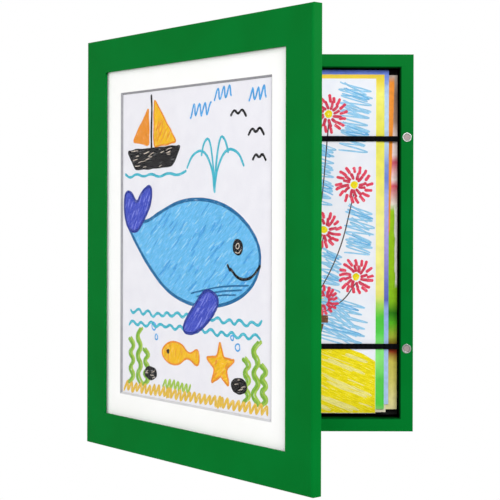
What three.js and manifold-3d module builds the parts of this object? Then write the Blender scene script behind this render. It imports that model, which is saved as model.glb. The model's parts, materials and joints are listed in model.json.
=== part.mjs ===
// A front-opening frame for children's drawings, in millimetres.
// x runs to the right, y into the wall and z up. The origin is the middle of the back, on the wall plane.

import * as THREE from "three";
import { mergeVertices } from "three/addons/utils/BufferGeometryUtils.js";
import Module from "manifold-3d";

const wasm = await Module();
wasm.setup();

// Clearances that several pieces share
const fit = 0.3;
const layerGap = 0.2;
const seatGap = 0.1;
const mitreGap = 0.1;
const overrun = 1;

// Door frame
const doorWidth = 304.8;
const doorHeight = 368.3;
const doorThickness = 9.5;
const railFace = 30;
const lipThickness = 2;
const lipOverlap = 5.1;
const doorArris = 1.6;
const openDegrees = 50;

// What the door holds, from the front to the back
const paneClearance = 0.5;
const paneThickness = 1;
const matThickness = 1.4;
const sheetInset = 19.05;
const matOverlap = 7;
const displaySheetThickness = 0.3;
const backingThickness = 1.6;

// Bendable tabs over the backing board
const tabWidth = 6;
const tabLength = 8;
const tabThickness = 0.5;
const shankLength = 5;
const sideTabEndDistance = 99.15;

// Storage box
const doorSideOverhang = 8.3;
const doorEndOverhang = 9.4;
const closedGap = 0.6;
const boxDepth = 28;
const wallWidth = 12;
const boxArris = 0.7;
const panelThickness = 3;
const panelRabbet = 4;

// Butt hinges
const hingeEndDistance = 54.75;
const hingeLength = 38;
const barrelRadius = 2.2;
const pinRadius = 0.8;
const pinHeadRadius = 1.5;
const pinHeadHeight = 0.6;
const leafThickness = 0.8;
const leafMargin = 1;
const knuckleCount = 3;
const hingeScrewSpread = 22;

// Hinge screws
const screwRadius = 1.1;
const screwHeadRadius = 2.1;
const screwHeadHeight = 0.7;
const screwCrownHeight = 0.15;
const screwTipLength = 1.2;
const boxScrewLength = 10;
const doorScrewLength = 5.6;
const driveLength = 2.8;
const driveWidth = 0.5;
const driveDepth = 0.35;

// Magnetic catches
const catchEndDistance = 76.75;
const cupRadius = 4.25;
const cupDepth = 4;
const cupWall = 1;
const cupFloor = 1;
const catchProud = 0.15;
const coreSink = 0.15;
const strikeRadius = 5;
const strikeThickness = 1.2;

// Elastic straps
const strapEndDistance = 77.75;
const strapWidth = 5;
const strapThickness = 0.8;
const strapSink = 10;
const strapTail = 4;

// Stored drawings: how far each sheet's edges stand in from the box's inner faces,
// as shares of the clear width or height
const drawingThickness = 0.5;
const drawingShares = [
  { left: 0.029, right: 0.082, top: 0.029, bottom: 0.01 },
  { left: 0.059, right: 0.052, top: 0.017, bottom: 0.021 },
  { left: 0.075, right: 0.036, top: 0.004, bottom: 0.035 },
  { left: 0.066, right: 0.045, top: 0.027, bottom: 0.012 },
  { left: 0.106, right: 0.005, top: 0.018, bottom: 0.02 },
];
const stackShares = { left: 0.068, right: 0.06, top: 0.038, bottom: 0.006 };

// Sawtooth hangers and their nails
const hangerLength = 46;
const hangerHeight = 6.6;
const hangerThickness = 0.8;
const hangerLift = 1.2;
const hangerPad = 7;
const hangerRamp = 2;
const toothCount = 9;
const toothDepth = 1.3;
const nailRadius = 0.7;
const nailHeadRadius = 1.6;
const nailHeadHeight = 0.6;
const nailLength = 9;

// Facets of the round forms
const arcSegments = 5;
const roundSides = 32;
const smallSides = 16;

// Sizes that follow
const stackedDepth = lipThickness + layerGap;
const paneWidth = doorWidth - 2 * (railFace - lipOverlap + paneClearance);
const paneHeight = doorHeight - 2 * (railFace - lipOverlap + paneClearance);
const displaySheetWidth = paneWidth - 2 * sheetInset;
const displaySheetHeight = paneHeight - 2 * sheetInset;
const matDepth = stackedDepth + paneThickness + layerGap;
const sheetDepth = matDepth + matThickness + layerGap;
const backingDepth = sheetDepth + displaySheetThickness + layerGap;
const tabDepth = backingDepth + backingThickness + layerGap;
const tabAxisDepth = tabDepth + tabThickness / 2;
const rabbetWall = railFace - lipOverlap;
const tabAxisInward = rabbetWall + fit + tabThickness / 2;

const boxWidth = doorWidth - 2 * doorSideOverhang;
const boxHeight = doorHeight - 2 * doorEndOverhang;
const clearWidth = boxWidth - 2 * wallWidth;
const clearHeight = boxHeight - 2 * wallWidth;
const hingeSpread = boxHeight - 2 * hingeEndDistance;
const catchSpread = boxHeight - 2 * catchEndDistance;
const strapSpread = boxHeight - 2 * strapEndDistance;
const rimY = -boxDepth;
const doorBackY = rimY - closedGap;
const doorFrontY = doorBackY - doorThickness;

const barrelStandoff = barrelRadius + fit;
const hingeX = -boxWidth / 2 - barrelStandoff;
const hingeY = rimY - closedGap / 2;
const leafReach = barrelStandoff + wallWidth - leafMargin;
const mortiseDepth = barrelRadius + fit - closedGap / 2;
const hingeScrewInset = barrelStandoff + wallWidth / 2;
const screwSeat = barrelRadius - leafThickness - seatGap;
const pinEnd = hingeLength / 2 + fit + pinHeadHeight;
const strapFrontY = rimY + strapSink;
const drawingFrontY = strapFrontY + strapThickness + fit;
const panelFrontY = -panelThickness;

// Finishes
const greenPaint = new THREE.MeshStandardMaterial({ color: 0x09782c, roughness: 0.45, metalness: 0 });
const clearAcrylic = new THREE.MeshStandardMaterial({
  color: 0xf4f8fa,
  roughness: 0.05,
  metalness: 0,
  transparent: true,
  opacity: 0.25,
});
const matBoard = new THREE.MeshStandardMaterial({ color: 0xfcfcfb, roughness: 0.9, metalness: 0 });
const whitePaper = new THREE.MeshStandardMaterial({ color: 0xf3f2f8, roughness: 0.85, metalness: 0 });
const greyBoard = new THREE.MeshStandardMaterial({ color: 0x8d8478, roughness: 0.95, metalness: 0 });
const blackBoard = new THREE.MeshStandardMaterial({ color: 0x121212, roughness: 0.8, metalness: 0 });
const blackElastic = new THREE.MeshStandardMaterial({ color: 0x101012, roughness: 0.85, metalness: 0 });
const zincSteel = new THREE.MeshStandardMaterial({ color: 0xc2c4c6, roughness: 0.35, metalness: 1 });
const nickelSteel = new THREE.MeshStandardMaterial({ color: 0xd8d8d8, roughness: 0.2, metalness: 1 });
const magnetAlloy = new THREE.MeshStandardMaterial({ color: 0x8e9194, roughness: 0.4, metalness: 1 });
const brassPlate = new THREE.MeshStandardMaterial({ color: 0xb8923e, roughness: 0.4, metalness: 1 });
const paperTints = [0xf4f1e6, 0xd8d65a, 0x9fc4e6, 0xf1ead2, 0xe8a070];

// The solid form of a closed geometry
function solidFrom(geometry) {
  const bare = geometry.clone();
  bare.deleteAttribute("normal");
  bare.deleteAttribute("uv");
  const merged = mergeVertices(bare);
  const vertProperties = merged.attributes.position.array;
  const triVerts = new Uint32Array(merged.index.array);
  return new wasm.Manifold(new wasm.Mesh({ numProp: 3, vertProperties, triVerts }));
}

function geometryFrom(body) {
  const { vertProperties, triVerts } = body.getMesh();
  const geometry = new THREE.BufferGeometry();
  geometry.setAttribute("position", new THREE.BufferAttribute(vertProperties, 3));
  geometry.setIndex(new THREE.BufferAttribute(triVerts, 1));
  const faceted = geometry.toNonIndexed();
  faceted.computeVertexNormals();
  return faceted;
}

function cut(geometry, cutters) {
  let body = solidFrom(geometry);
  for (const cutter of cutters) {
    body = body.subtract(solidFrom(cutter));
  }
  return geometryFrom(body);
}

function join(geometries) {
  const [first, ...rest] = geometries.map(solidFrom);
  return geometryFrom(rest.reduce((body, other) => body.add(other), first));
}

function part(name, geometry, material) {
  const mesh = new THREE.Mesh(geometry, material);
  mesh.name = name;
  return mesh;
}

// A block between two opposite corners
function block(low, high) {
  const size = high.map((value, axis) => value - low[axis]);
  const middle = high.map((value, axis) => (value + low[axis]) / 2);
  return new THREE.BoxGeometry(...size).translate(...middle);
}

// A disc or hole whose axis runs along y, from the depth yLow to yHigh
function discAlongY(radius, x, yLow, yHigh, z, sides) {
  const disc = new THREE.CylinderGeometry(radius, radius, yHigh - yLow, sides);
  return disc.translate(x, (yLow + yHigh) / 2, z);
}

function rodAlongZ(radius, length, sides) {
  return new THREE.CylinderGeometry(radius, radius, length, sides).rotateX(Math.PI / 2);
}

// A sheet or board centred on x and z
function panel(width, height, yLow, thickness) {
  return block([-width / 2, yLow, -height / 2], [width / 2, yLow + thickness, height / 2]);
}

// A mitred length of moulding along x. In its section, x runs inward from the outer edge
// and y from the front to the back.
function mitredBar(section, length) {
  const bar = new THREE.ExtrudeGeometry(section, {
    depth: 1,
    bevelEnabled: false,
    curveSegments: arcSegments,
  });
  const corner = bar.attributes.position;
  for (let i = 0; i < corner.count; i++) {
    const inward = corner.getX(i);
    const end = corner.getZ(i) > 0 ? -1 : 1;
    corner.setXYZ(i, end * (length / 2 - inward - mitreGap), corner.getY(i), inward);
  }
  return bar;
}

// The four sides of a frame: how each is turned, and where its outer edge lies
function frameSides(width, height) {
  return {
    bottom: { length: width, turn: 0, x: 0, z: -height / 2 },
    top: { length: width, turn: Math.PI, x: 0, z: height / 2 },
    left: { length: height, turn: Math.PI / 2, x: -width / 2, z: 0 },
    right: { length: height, turn: -Math.PI / 2, x: width / 2, z: 0 },
  };
}

function sideGroup(side, y) {
  const group = new THREE.Group();
  group.position.set(side.x, y, side.z);
  group.rotation.y = side.turn;
  return group;
}

function doorSection() {
  const section = new THREE.Shape();
  section.moveTo(doorArris, 0);
  section.lineTo(railFace, 0);
  section.lineTo(railFace, lipThickness);
  section.lineTo(rabbetWall, lipThickness);
  section.lineTo(rabbetWall, doorThickness);
  section.lineTo(0, doorThickness);
  section.lineTo(0, doorArris);
  section.absarc(doorArris, doorArris, doorArris, Math.PI, 1.5 * Math.PI, false);
  return section;
}

function boxSection() {
  const ledge = boxDepth - panelThickness - fit;
  const section = new THREE.Shape();
  section.moveTo(boxArris, 0);
  section.lineTo(wallWidth, 0);
  section.lineTo(wallWidth, ledge);
  section.lineTo(wallWidth - panelRabbet, ledge);
  section.lineTo(wallWidth - panelRabbet, boxDepth);
  section.lineTo(0, boxDepth);
  section.lineTo(0, boxArris);
  section.absarc(boxArris, boxArris, boxArris, Math.PI, 1.5 * Math.PI, false);
  return section;
}

// The free half of a tab, along its side of the frame, from its bend line inward
function tabGeometry() {
  const outline = new THREE.Shape();
  const tipRadius = tabWidth / 2;
  outline.moveTo(-tipRadius, 0);
  outline.lineTo(tipRadius, 0);
  outline.lineTo(tipRadius, tabLength - tipRadius);
  outline.absarc(0, tabLength - tipRadius, tipRadius, 0, Math.PI, false);
  const tab = new THREE.ExtrudeGeometry(outline, {
    depth: tabThickness,
    bevelEnabled: false,
    curveSegments: 2 * arcSegments,
  });
  return tab.translate(0, 0, -tabThickness / 2).rotateX(Math.PI / 2);
}

function tabSlot(along) {
  const halfWidth = tabWidth / 2 + fit;
  const low = [along - halfWidth, tabDepth - fit, rabbetWall - shankLength - fit];
  const high = [along + halfWidth, tabDepth + tabThickness + fit, rabbetWall + overrun];
  return block(low, high);
}

function addTab(group, name, along) {
  const tab = part(name, tabGeometry(), zincSteel);
  tab.position.set(along, tabAxisDepth, tabAxisInward);
  const low = [along - tabWidth / 2, tabDepth, rabbetWall - shankLength];
  const high = [along + tabWidth / 2, tabDepth + tabThickness, rabbetWall];
  group.add(tab, part(`${name}_shank`, block(low, high), zincSteel));
}

// A side of the door with the tabs driven into it
function doorSide(name, side, tabs, cutters) {
  const group = sideGroup(side, doorFrontY);
  const slots = tabs.map((tab) => tabSlot(tab.along));
  const bar = cut(mitredBar(doorSection(), side.length), [...slots, ...cutters]);
  group.add(part(name, bar, greenPaint));
  for (const tab of tabs) {
    addTab(group, tab.name, tab.along);
  }
  return group;
}

// The room in the hinge stile for a door leaf, the barrel and the pin heads, with its screw holes
function doorHingeCutters(along) {
  const axisInward = doorSideOverhang - barrelStandoff;
  const halfLength = pinEnd + fit;
  const low = [along - halfLength, doorThickness - mortiseDepth, axisInward - barrelRadius - fit];
  const high = [along + halfLength, doorThickness + overrun, axisInward + leafReach + fit];
  const tipDepth = doorThickness + closedGap / 2 - screwSeat - doorScrewLength;
  const holes = [-1, 1].map((end) =>
    discAlongY(
      screwRadius + fit,
      along + (end * hingeScrewSpread) / 2,
      tipDepth - fit,
      doorThickness,
      axisInward + hingeScrewInset,
      smallSides,
    ),
  );
  return [block(low, high), ...holes];
}

function strikeCutter(along) {
  const floor = doorThickness - (strikeThickness - catchProud + seatGap);
  const inward = doorSideOverhang + wallWidth / 2;
  return discAlongY(strikeRadius + fit, along, floor, doorThickness + overrun, inward, roundSides);
}

// The mat, whose window opens at 45 degrees towards the front
function matGeometry() {
  const outer = panel(paneWidth, paneHeight, doorFrontY + matDepth, matThickness);
  const halfWidth = displaySheetWidth / 2 - matOverlap;
  const halfHeight = displaySheetHeight / 2 - matOverlap;
  const reach = matThickness + 2 * overrun;
  const narrow = new THREE.Shape();
  narrow.moveTo(overrun - halfWidth, overrun - halfHeight);
  narrow.lineTo(halfWidth - overrun, overrun - halfHeight);
  narrow.lineTo(halfWidth - overrun, halfHeight - overrun);
  narrow.lineTo(overrun - halfWidth, halfHeight - overrun);
  const window = new THREE.ExtrudeGeometry(narrow, {
    depth: overrun,
    bevelThickness: reach,
    bevelSize: reach,
    bevelSegments: 1,
  });
  const matBack = doorFrontY + matDepth + matThickness;
  return cut(outer, [window.rotateX(Math.PI / 2).translate(0, matBack + overrun - reach, 0)]);
}

// One hinge leaf round the hinge axis. side is 1 for the leaf behind the axis and -1 for the leaf in front.
function leafGeometry(side, carries) {
  const knuckleLength = hingeLength / knuckleCount;
  const plateY = [side * barrelRadius, side * (barrelRadius - leafThickness)].sort((a, b) => a - b);
  const plate = block([0, plateY[0], -hingeLength / 2], [leafReach, plateY[1], hingeLength / 2]);
  const cutters = [rodAlongZ(pinRadius + fit, hingeLength + overrun, smallSides)];
  for (let i = 0; i < knuckleCount; i++) {
    if (i % 2 === carries) {
      continue;
    }
    const reach = barrelRadius + fit;
    const start = i * knuckleLength - hingeLength / 2;
    const low = start - (i === 0 ? overrun : fit / 2);
    const high = start + knuckleLength + (i === knuckleCount - 1 ? overrun : fit / 2);
    cutters.push(block([-reach, -reach, low], [reach, reach, high]));
  }
  for (const end of [-1, 1]) {
    const z = (end * hingeScrewSpread) / 2;
    const hole = discAlongY(screwRadius + fit, hingeScrewInset, -leafReach, leafReach, z, smallSides);
    cutters.push(hole);
  }
  return cut(join([plate, rodAlongZ(barrelRadius, hingeLength, 2 * smallSides)]), cutters);
}

function pinGeometry() {
  const neck = hingeLength / 2 + seatGap;
  const end = neck + pinHeadHeight;
  const profile = [
    [0, -end],
    [pinHeadRadius, -end],
    [pinHeadRadius, -neck],
    [pinRadius, -neck],
    [pinRadius, neck],
    [pinHeadRadius, neck],
    [pinHeadRadius, end],
    [0, end],
  ];
  return lathe(profile, smallSides).rotateX(Math.PI / 2);
}

function lathe(profile, sides) {
  const points = profile.map(([radius, height]) => new THREE.Vector2(radius, height));
  return new THREE.LatheGeometry(points, sides);
}

// A screw whose head seats at y = 0 and faces +y
function screwGeometry(length) {
  const profile = [
    [0, -length],
    [screwRadius, screwTipLength - length],
    [screwRadius, 0],
    [screwHeadRadius, 0],
    [screwHeadRadius, screwHeadHeight - screwCrownHeight],
    [screwHeadRadius / 2, screwHeadHeight],
    [0, screwHeadHeight],
  ];
  const floor = screwHeadHeight - driveDepth;
  const top = screwHeadHeight + overrun;
  const long = driveLength / 2;
  const short = driveWidth / 2;
  const across = block([-long, floor, -short], [long, top, short]);
  const upright = block([-short, floor, -long], [short, top, long]);
  return cut(lathe(profile, smallSides), [across, upright]);
}

// A leaf and its two screws. side is 1 on the box and -1 on the door.
function leafGroup(name, side, z) {
  const group = new THREE.Group();
  group.position.set(hingeX, hingeY, z);
  group.add(part(`${name}_leaf`, leafGeometry(side, side > 0 ? 0 : 1), zincSteel));
  const length = side > 0 ? boxScrewLength : doorScrewLength;
  for (const [order, end] of [["lower", -1], ["upper", 1]]) {
    const screw = part(`${name}_${order}_screw`, screwGeometry(length), zincSteel);
    screw.position.set(hingeScrewInset, side * screwSeat, (end * hingeScrewSpread) / 2);
    screw.rotation.x = side > 0 ? Math.PI : 0;
    group.add(screw);
  }
  return group;
}

function pinPart(name, z) {
  const pin = part(name, pinGeometry(), zincSteel);
  pin.position.set(hingeX, hingeY, z);
  return pin;
}

function makeDoor() {
  const closed = new THREE.Group();
  closed.position.set(-hingeX, -hingeY, 0);
  const sides = frameSides(doorWidth, doorHeight);
  const tabAlong = doorHeight / 2 - sideTabEndDistance;
  const hingeTabs = [
    { name: "hinge_side_upper_tab", along: -tabAlong },
    { name: "hinge_side_lower_tab", along: tabAlong },
  ];
  const freeTabs = [
    { name: "free_side_lower_tab", along: -tabAlong },
    { name: "free_side_upper_tab", along: tabAlong },
  ];
  const hingeCutters = [-hingeSpread / 2, hingeSpread / 2].flatMap(doorHingeCutters);
  const strikeCutters = [-catchSpread / 2, catchSpread / 2].map(strikeCutter);
  closed.add(doorSide("door_hinge_stile", sides.left, hingeTabs, hingeCutters));
  closed.add(doorSide("door_top_rail", sides.top, [{ name: "top_tab", along: 0 }], []));
  closed.add(doorSide("door_free_stile", sides.right, freeTabs, strikeCutters));
  closed.add(doorSide("door_bottom_rail", sides.bottom, [{ name: "bottom_tab", along: 0 }], []));

  const pane = panel(paneWidth, paneHeight, doorFrontY + stackedDepth, paneThickness);
  const sheetY = doorFrontY + sheetDepth;
  const sheet = panel(displaySheetWidth, displaySheetHeight, sheetY, displaySheetThickness);
  const backing = panel(paneWidth, paneHeight, doorFrontY + backingDepth, backingThickness);
  closed.add(part("glazing", pane, clearAcrylic));
  closed.add(part("mat", matGeometry(), matBoard));
  closed.add(part("display_sheet", sheet, whitePaper));
  closed.add(part("door_backing_board", backing, greyBoard));

  for (const [name, end] of [["lower", -1], ["upper", 1]]) {
    const strikeBack = doorBackY + catchProud;
    const strikeX = boxWidth / 2 - wallWidth / 2;
    const strikeZ = (end * catchSpread) / 2;
    const strike = discAlongY(
      strikeRadius,
      strikeX,
      strikeBack - strikeThickness,
      strikeBack,
      strikeZ,
      roundSides,
    );
    closed.add(part(`${name}_strike_disc`, strike, nickelSteel));
    closed.add(leafGroup(`${name}_hinge_door`, -1, (end * hingeSpread) / 2));
  }

  const swing = new THREE.Group();
  swing.position.set(hingeX, hingeY, 0);
  swing.rotation.z = -THREE.MathUtils.degToRad(openDegrees);
  swing.add(closed);
  return swing;
}

// The mortise in the rim for a box leaf, with its screw holes
function boxHingeCutters(along) {
  const halfLength = hingeLength / 2 + fit;
  const low = [along - halfLength, -overrun, -overrun];
  const high = [along + halfLength, mortiseDepth, wallWidth - leafMargin + fit];
  const tipDepth = screwSeat - closedGap / 2 + boxScrewLength;
  const holes = [-1, 1].map((end) =>
    discAlongY(
      screwRadius + fit,
      along + (end * hingeScrewSpread) / 2,
      0,
      tipDepth + fit,
      wallWidth / 2,
      smallSides,
    ),
  );
  return [block(low, high), ...holes];
}

function strapCutter(along) {
  const halfWidth = strapWidth / 2 + fit;
  const low = [along - halfWidth, strapSink - fit, wallWidth - strapTail - fit];
  const high = [along + halfWidth, strapSink + strapThickness + fit, wallWidth + overrun];
  return block(low, high);
}

function catchCutter(along) {
  const depth = cupDepth - catchProud + fit;
  return discAlongY(cupRadius + fit, along, -overrun, depth, wallWidth / 2, roundSides);
}

function nailCutters() {
  const inward = (wallWidth - panelRabbet) / 2;
  return [-1, 1].map((end) => {
    const along = (end * (hangerLength - hangerPad)) / 2;
    const start = boxDepth - nailLength - fit;
    return discAlongY(nailRadius + fit, along, start, boxDepth + overrun, inward, smallSides);
  });
}

function boxSide(name, side, cutters) {
  const group = sideGroup(side, rimY);
  group.add(part(name, cut(mitredBar(boxSection(), side.length), cutters), greenPaint));
  return group;
}

function cupGeometry() {
  const profile = [
    [0, 0],
    [cupRadius, 0],
    [cupRadius, cupDepth],
    [cupRadius - cupWall, cupDepth],
    [cupRadius - cupWall, cupFloor],
    [0, cupFloor],
  ];
  return lathe(profile, roundSides);
}

// A magnet in its steel cup, set in the rim with its open side to the front
function catchGroup(name, z) {
  const group = new THREE.Group();
  group.position.set(boxWidth / 2 - wallWidth / 2, rimY - catchProud + cupDepth, z);
  group.rotation.x = Math.PI;
  const coreRadius = cupRadius - cupWall - fit;
  const core = discAlongY(coreRadius, 0, cupFloor + seatGap, cupDepth - coreSink, 0, roundSides);
  group.add(part(`${name}_magnet_cup`, cupGeometry(), nickelSteel));
  group.add(part(`${name}_magnet_core`, core, magnetAlloy));
  return group;
}

function strapPart(name, z) {
  const halfLength = clearWidth / 2 + strapTail;
  const low = [-halfLength, strapFrontY, z - strapWidth / 2];
  const high = [halfLength, strapFrontY + strapThickness, z + strapWidth / 2];
  return part(name, block(low, high), blackElastic);
}

// A block of paper whose edges stand in from the box's inner faces by the given shares
function paperBlock(shares, yLow, yHigh) {
  const left = -clearWidth / 2 + shares.left * clearWidth;
  const right = clearWidth / 2 - shares.right * clearWidth;
  const bottom = -clearHeight / 2 + shares.bottom * clearHeight;
  const top = clearHeight / 2 - shares.top * clearHeight;
  return block([left, yLow, bottom], [right, yHigh, top]);
}

function storedPaper() {
  const papers = [];
  let y = drawingFrontY;
  drawingShares.forEach((shares, i) => {
    const tint = new THREE.MeshStandardMaterial({ color: paperTints[i], roughness: 0.9, metalness: 0 });
    papers.push(part(`stored_drawing_${i + 1}`, paperBlock(shares, y, y + drawingThickness), tint));
    y += drawingThickness + fit;
  });
  papers.push(part("stored_paper_stack", paperBlock(stackShares, y, panelFrontY - fit), whitePaper));
  return papers;
}

// The hanger's strip seen from above: two pads on the wood and a lifted middle
function hangerStrip() {
  const half = hangerLength / 2;
  const padEnd = half - hangerPad;
  const rise = padEnd - hangerRamp;
  const low = seatGap;
  const high = low + hangerLift;
  const outline = new THREE.Shape();
  const points = [
    [-half, low],
    [-padEnd, low],
    [-rise, high],
    [rise, high],
    [padEnd, low],
    [half, low],
    [half, low + hangerThickness],
    [padEnd, low + hangerThickness],
    [rise, high + hangerThickness],
    [-rise, high + hangerThickness],
    [-padEnd, low + hangerThickness],
    [-half, low + hangerThickness],
  ];
  outline.setFromPoints(points.map(([x, y]) => new THREE.Vector2(x, y)));
  const strip = new THREE.ExtrudeGeometry(outline, { depth: hangerHeight, bevelEnabled: false });
  return strip.translate(0, 0, -hangerHeight / 2);
}

// The notches along the hanger's lower edge
function toothCutter() {
  const run = hangerLength - 2 * (hangerPad + hangerRamp);
  const pitch = run / toothCount;
  const outline = new THREE.Shape();
  outline.moveTo(-run / 2, -overrun);
  outline.lineTo(-run / 2, 0);
  for (let i = 0; i < toothCount; i++) {
    const start = i * pitch - run / 2;
    outline.lineTo(start + pitch / 2, toothDepth);
    outline.lineTo(start + pitch, 0);
  }
  outline.lineTo(run / 2, -overrun);
  const reach = hangerLift + hangerThickness + overrun;
  const cutter = new THREE.ExtrudeGeometry(outline, { depth: reach, bevelEnabled: false });
  return cutter.rotateX(Math.PI / 2).translate(0, reach, -hangerHeight / 2);
}

function hangerGeometry() {
  const holes = [-1, 1].map((end) =>
    discAlongY(
      nailRadius + fit,
      (end * (hangerLength - hangerPad)) / 2,
      -overrun,
      hangerLift + hangerThickness + overrun,
      0,
      smallSides,
    ),
  );
  return cut(hangerStrip(), [toothCutter(), ...holes]);
}

function nailGeometry() {
  const profile = [
    [0, -nailLength],
    [nailRadius, nailRadius - nailLength],
    [nailRadius, 0],
    [nailHeadRadius, 0],
    [nailHeadRadius, nailHeadHeight],
    [0, nailHeadHeight],
  ];
  return lathe(profile, smallSides);
}

// A hanger and its nails. The group's z points up when the frame hangs from it.
function hangerGroup(name) {
  const group = new THREE.Group();
  group.add(part(`${name}_hanger`, hangerGeometry(), brassPlate));
  for (const [order, end] of [["left", -1], ["right", 1]]) {
    const nail = part(`${name}_hanger_${order}_nail`, nailGeometry(), zincSteel);
    const head = 2 * seatGap + hangerThickness;
    nail.position.set((end * (hangerLength - hangerPad)) / 2, head, 0);
    group.add(nail);
  }
  return group;
}

function makeBox() {
  const box = new THREE.Group();
  const sides = frameSides(boxWidth, boxHeight);
  const hingeCutters = [-hingeSpread / 2, hingeSpread / 2].flatMap(boxHingeCutters);
  const strapCutters = [-strapSpread / 2, strapSpread / 2].map(strapCutter);
  const catchCutters = [-catchSpread / 2, catchSpread / 2].map(catchCutter);
  box.add(boxSide("box_hinge_wall", sides.left, [...hingeCutters, ...strapCutters, ...nailCutters()]));
  box.add(boxSide("box_latch_wall", sides.right, [...strapCutters, ...catchCutters]));
  box.add(boxSide("box_top_wall", sides.top, nailCutters()));
  box.add(boxSide("box_bottom_wall", sides.bottom, []));

  const inset = wallWidth - panelRabbet + fit;
  const back = panel(boxWidth - 2 * inset, boxHeight - 2 * inset, panelFrontY, panelThickness);
  box.add(part("back_panel", back, blackBoard));

  for (const [name, end] of [["lower", -1], ["upper", 1]]) {
    box.add(catchGroup(name, (end * catchSpread) / 2));
    box.add(strapPart(`${name}_strap`, (end * strapSpread) / 2));
    box.add(leafGroup(`${name}_hinge_box`, 1, (end * hingeSpread) / 2));
    box.add(pinPart(`${name}_hinge_pin`, (end * hingeSpread) / 2));
  }
  box.add(...storedPaper());

  const stripInset = (wallWidth - panelRabbet) / 2;
  const portrait = hangerGroup("portrait");
  portrait.position.set(0, 0, boxHeight / 2 - stripInset);
  const landscape = hangerGroup("landscape");
  landscape.position.set(-boxWidth / 2 + stripInset, 0, 0);
  landscape.rotation.y = -Math.PI / 2;
  box.add(portrait, landscape);
  return box;
}

const artFrame = new THREE.Group();
artFrame.add(makeBox(), makeDoor());

export default artFrame;
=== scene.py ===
import json
import math
import random

import bmesh
import bpy
from mathutils import Matrix, Vector, noise


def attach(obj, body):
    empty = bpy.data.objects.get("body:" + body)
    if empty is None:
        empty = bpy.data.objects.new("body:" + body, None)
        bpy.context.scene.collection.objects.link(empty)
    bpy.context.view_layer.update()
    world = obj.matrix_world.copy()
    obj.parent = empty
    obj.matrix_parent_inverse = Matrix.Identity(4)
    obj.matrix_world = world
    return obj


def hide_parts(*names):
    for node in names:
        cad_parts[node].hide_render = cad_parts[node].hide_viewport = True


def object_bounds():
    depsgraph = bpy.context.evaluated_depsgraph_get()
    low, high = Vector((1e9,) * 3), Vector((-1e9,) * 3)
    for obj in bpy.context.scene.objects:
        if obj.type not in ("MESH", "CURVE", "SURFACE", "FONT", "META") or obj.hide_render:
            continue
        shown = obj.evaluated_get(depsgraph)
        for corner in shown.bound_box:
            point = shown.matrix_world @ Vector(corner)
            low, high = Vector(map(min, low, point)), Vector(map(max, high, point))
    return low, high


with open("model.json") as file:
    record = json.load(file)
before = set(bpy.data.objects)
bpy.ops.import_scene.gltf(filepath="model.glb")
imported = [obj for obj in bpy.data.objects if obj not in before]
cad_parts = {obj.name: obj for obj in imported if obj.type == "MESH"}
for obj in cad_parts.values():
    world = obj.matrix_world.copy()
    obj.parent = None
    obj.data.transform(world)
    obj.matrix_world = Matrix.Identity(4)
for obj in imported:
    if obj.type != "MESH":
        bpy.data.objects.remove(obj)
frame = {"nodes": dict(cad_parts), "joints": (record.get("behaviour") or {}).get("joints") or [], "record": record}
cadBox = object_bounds()
print("frame loaded")

mm = 0.001
record = frame["record"]
bodyOf = {node: body for body, members in record["behaviour"]["bodies"].items() for node in members}

# Pieces of the door are modelled shut, and then turned to where the frame holds it open
doorHinge = next(joint for joint in frame["joints"] if joint["name"] == "door_hinge")
hingePoint = Vector(doorHinge["pos_m"])
openAngle = math.radians(-doorHinge["range_deg"][0])
doorTurn = (
    Matrix.Translation(hingePoint) @ Matrix.Rotation(-openAngle, 4, "Z") @ Matrix.Translation(-hingePoint)
)


def turnOf(node):
    return Matrix.Identity(4) if bodyOf[node] == "box" else doorTurn


def shutBox(node):
    back = turnOf(node).inverted()
    corners = [back @ vertex.co for vertex in frame["nodes"][node].data.vertices]
    return [Vector(end(corner[axis] for corner in corners) for axis in range(3)) for end in (min, max)]


# Camera, at the photograph's place and angle, in millimetres and degrees
view = {"place": (-11.8, -1207.2, 26.8), "lens": 91.7, "turn": 0.22, "roll": 0.145, "shift": -0.0728}

bpy.ops.object.camera_add(
    location=Vector(view["place"]) * mm,
    rotation=(math.pi / 2, -math.radians(view["roll"]), -math.radians(view["turn"]))
)
camera = bpy.context.object
camera.data.lens = view["lens"]
camera.data.shift_y = view["shift"]
bpy.context.scene.camera = camera
bpy.context.scene.view_settings.view_transform = "Standard"
print("camera placed")


def toLinear(colour):
    channels = [int(colour[i:i + 2], 16) / 255 for i in (1, 3, 5)]
    bent = [c / 12.92 if c <= 0.04045 else ((c + 0.055) / 1.055) ** 2.4 for c in channels]
    return (*bent, 1)


# Adds a shader node. A link is a value, a socket, or a node whose first output is meant.
def addNode(tree, kind, links=None, stops=None, **settings):
    made = tree.nodes.new("ShaderNode" + kind)
    for name, value in settings.items():
        setattr(made, name, value)
    if stops:
        ramp = made.color_ramp.elements
        for place, colour in stops:
            ramp.new(place).color = toLinear(colour)
        ramp.remove(ramp[0])
        ramp.remove(ramp[-1])
    for socket, value in (links or {}).items():
        if isinstance(value, bpy.types.Node):
            value = value.outputs[0]
        if isinstance(value, bpy.types.NodeSocket):
            tree.links.new(value, made.inputs[socket])
        else:
            made.inputs[socket].default_value = value
    return made


def perMetre(millimetres):
    return 1 / (millimetres * mm)


def startMaterial(name):
    material = bpy.data.materials.new(name)
    material.use_nodes = True
    tree = material.node_tree
    tree.nodes.clear()
    return material, tree, addNode(tree, "TexCoord").outputs["Object"]


def closeMaterial(material, sockets, shader="BsdfPrincipled"):
    tree = material.node_tree
    addNode(tree, "OutputMaterial", {"Surface": addNode(tree, shader, sockets)})
    return material


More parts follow.
